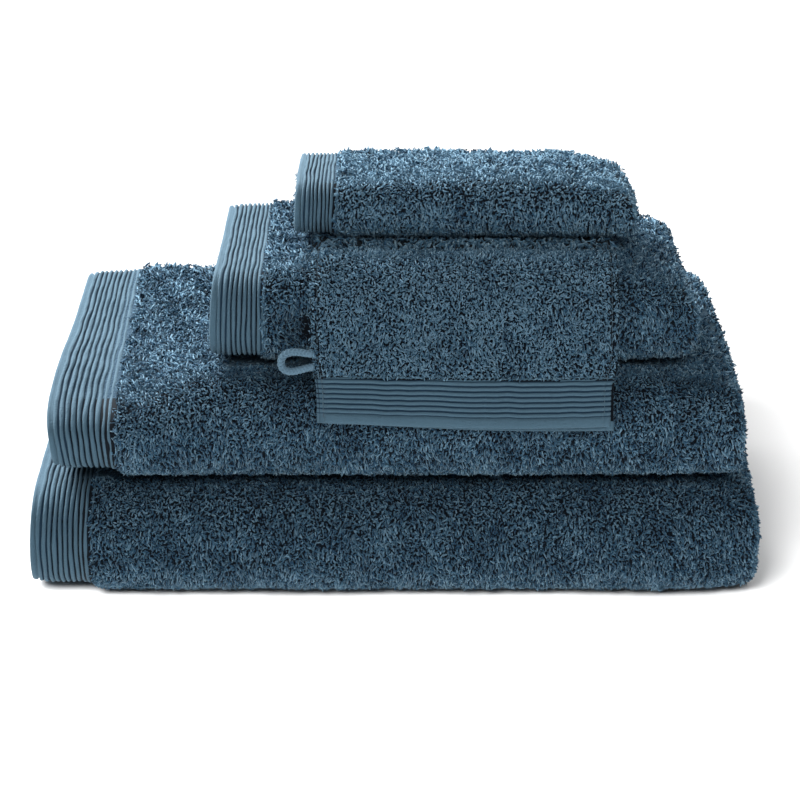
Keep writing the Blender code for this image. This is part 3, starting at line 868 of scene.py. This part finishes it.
def mitt_pile(name, side, keep_front, keep_rear):
    """Finer pile on one panel, left out along the seams and thin where the guest towel lies."""
    fine = 0.94 * SPACING
    high = MITT_L - MITT_BAND
    a, s = scatter(int(mitt_w / fine), int(high / fine), mitt_w, high)
    s = s + MITT_BAND + 0.0008
    d = np.minimum(a, mitt_w - a)
    keep = np.where(s < drape.marks[2] + 0.004, keep_front, keep_rear)
    keep = np.where(np.abs(d - SEAM_IN) < SEAM_HALF, 0.0, keep)
    chosen = (rng.uniform(0.0, 1.0, len(a)) < keep) & (s < MITT_L - 0.001)
    grow = 0.94 * np.maximum(keep, SPARSEST) ** GROWTH
    fall = np.full(len(a), 0.45 * side)
    # The mitt's loops take paler shades than the towels': painted light, for the lesser shade between its
    # dense loops.
    made = pile(name, lambda u, v, off: mitt_place(u, v, off, side), a[chosen], s[chosen], fall[chosen],
                grow[chosen], None, (0.1, 0.5))
    for obj in made:
        mitt_part(obj)
    return made


mitt_piles = mitt_pile("mitt_front_pile", 1.0, 1.0, 0.2) + mitt_pile("mitt_back_pile", -1.0, 0.3, 0.2)


# ------------------------------------------------------------ mitt seam stitches
# Lockstitches of cotton sewing thread, 3 mm long, lying in the groove where the two panels are
# sewn together.  Each dips into the cloth at both ends.
STITCH = 0.0030
THREAD_R = 0.00028

# Sewing thread is twisted tighter than the yarn, so it is a little smoother.
THREAD = cotton("cotton_sewing_thread", "4a5f6d", 0.7, 0.2)


def stitches(name, side):
    """A row of stitches up each side of one panel."""
    s_up = np.arange(0.004, MITT_L - 0.004, STITCH)
    a = np.concatenate([np.full(len(s_up), SEAM_IN), np.full(len(s_up), mitt_w - SEAM_IN)])
    s = np.concatenate([s_up, s_up])
    ends = []
    for share, height in ((-0.42, -0.0002), (-0.2, 0.0005), (0.2, 0.0005), (0.42, -0.0002)):
        ends.append(mitt_place(a, s + share * STITCH, height, side))
    ends = np.stack(ends, 1)
    up = unit(mitt_place(a, s, 0.001, side) - mitt_place(a, s, 0.0, side))[:, None]
    tangent = np.gradient(ends, axis=1)
    tangent = tangent / np.linalg.norm(tangent, axis=2, keepdims=True)
    wide = np.cross(tangent, np.broadcast_to(up, tangent.shape))
    ring = [ends + THREAD_R * (math.cos(t) * wide + math.sin(t) * up)
            for t in (0.0, QUARTER, math.pi, -QUARTER)]
    verts = np.stack(ring, 2).reshape(-1, 3)
    quads = np.array([(4 * i + k, 4 * i + (k + 1) % 4, 4 * i + 4 + (k + 1) % 4, 4 * i + 4 + k)
                      for i in range(3) for k in range(4)])
    quads = (quads[None] + 16 * np.arange(len(a))[:, None, None]).reshape(-1, 4)
    mesh = tube_mesh(name, verts, quads, [THREAD], np.zeros(len(quads)))
    obj = bpy.data.objects.new(name, mesh)
    bpy.context.scene.collection.objects.link(obj)
    mitt_part(obj)
    return obj


seam_front = stitches("mitt_front_seam", 1.0)
seam_back = stitches("mitt_back_seam", -1.0)
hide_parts("mitt_left_seam", "mitt_closed_end_seam")
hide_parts("mitt_right_seam")


# ------------------------------------------------------------ hanging loop
# A round cotton braid of eight strands bent into an eye.  Both of its ends are caught in the
# mitt's left seam, just above the border.
LOOP_OUT = 0.0168
LOOP_UP = 0.0331
CORE = 0.0017
STRANDS = 8
STRAND_R = 0.00052
LAY = 0.0075
SUNK = 0.00022
WEAVE = 0.00014

# Plaited cotton is smoother than the weave, so it catches a little more light.
BRAID = cotton("cotton_braid", "587385", 0.8, 0.3, 0.4, 0.4)


def loop_line(t):
    """Centre line of the braid for t from 0 to 1, in metres."""
    turn = math.pi * t
    out = LOOP_OUT * max(math.sin(turn), 0.0) ** 0.7
    side = math.cos(turn) * (0.0032 + 0.0048 * math.sin(turn)) - 0.0010 * math.sin(turn)
    p, _ = drape.at(np.array([LOOP_UP + side]))
    return np.array((mitt_x - 0.0002 - out, p[0, 0] - 0.0004 * math.sin(turn), p[0, 1]))


def draw_through(curve, path):
    """One open line of the curve through the path's points."""
    spline = curve.splines.new("POLY")
    spline.points.add(len(path) - 1)
    for point, co in zip(spline.points, path):
        point.co = (co[0], co[1], co[2], 1.0)
    spline.use_smooth = True


points = np.array([loop_line(i / 40.0) for i in range(41)])
curve = bpy.data.curves.new("mitt_hanging_braid", "CURVE")
curve.dimensions = "3D"
curve.bevel_depth = CORE
curve.bevel_resolution = 3
curve.use_fill_caps = True
draw_through(curve, points)
curve.materials.append(BRAID)
braid = bpy.data.objects.new("mitt_hanging_braid", curve)
bpy.context.scene.collection.objects.link(braid)
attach(braid, "mitt_flap")
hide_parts("mitt_hanging_loop")

strand_curve = bpy.data.curves.new("mitt_braid_strands", "CURVE")
strand_curve.dimensions = "3D"
strand_curve.bevel_depth = STRAND_R
strand_curve.bevel_resolution = 1
fine = np.linspace(0.0, 1.0, 260)
centre = np.array([loop_line(t) for t in fine])
tangent = unit(np.gradient(centre, axis=0))
first = unit(np.cross(tangent, (0.0, ny, nz)))
second = np.cross(tangent, first)
walk = np.concatenate([[0.0], np.cumsum(np.linalg.norm(np.diff(centre, axis=0), axis=1))])
# Half of the strands wind one way and half the other, each over and under as they cross.
for k in range(STRANDS):
    way = 1.0 if k % 2 else -1.0
    phase = 2.0 * math.pi * walk / LAY * way + 2.0 * math.pi * (k // 2) / 4.0
    radius = CORE - SUNK + WEAVE * np.sin(2.0 * phase + (0.0 if way > 0 else math.pi))
    path = centre + radius[:, None] * (np.cos(phase)[:, None] * first + np.sin(phase)[:, None] * second)
    draw_through(strand_curve, path)
strand_curve.materials.append(BRAID)
strands = bpy.data.objects.new("mitt_braid_strands", strand_curve)
bpy.context.scene.collection.objects.link(strands)
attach(strands, "mitt_flap")
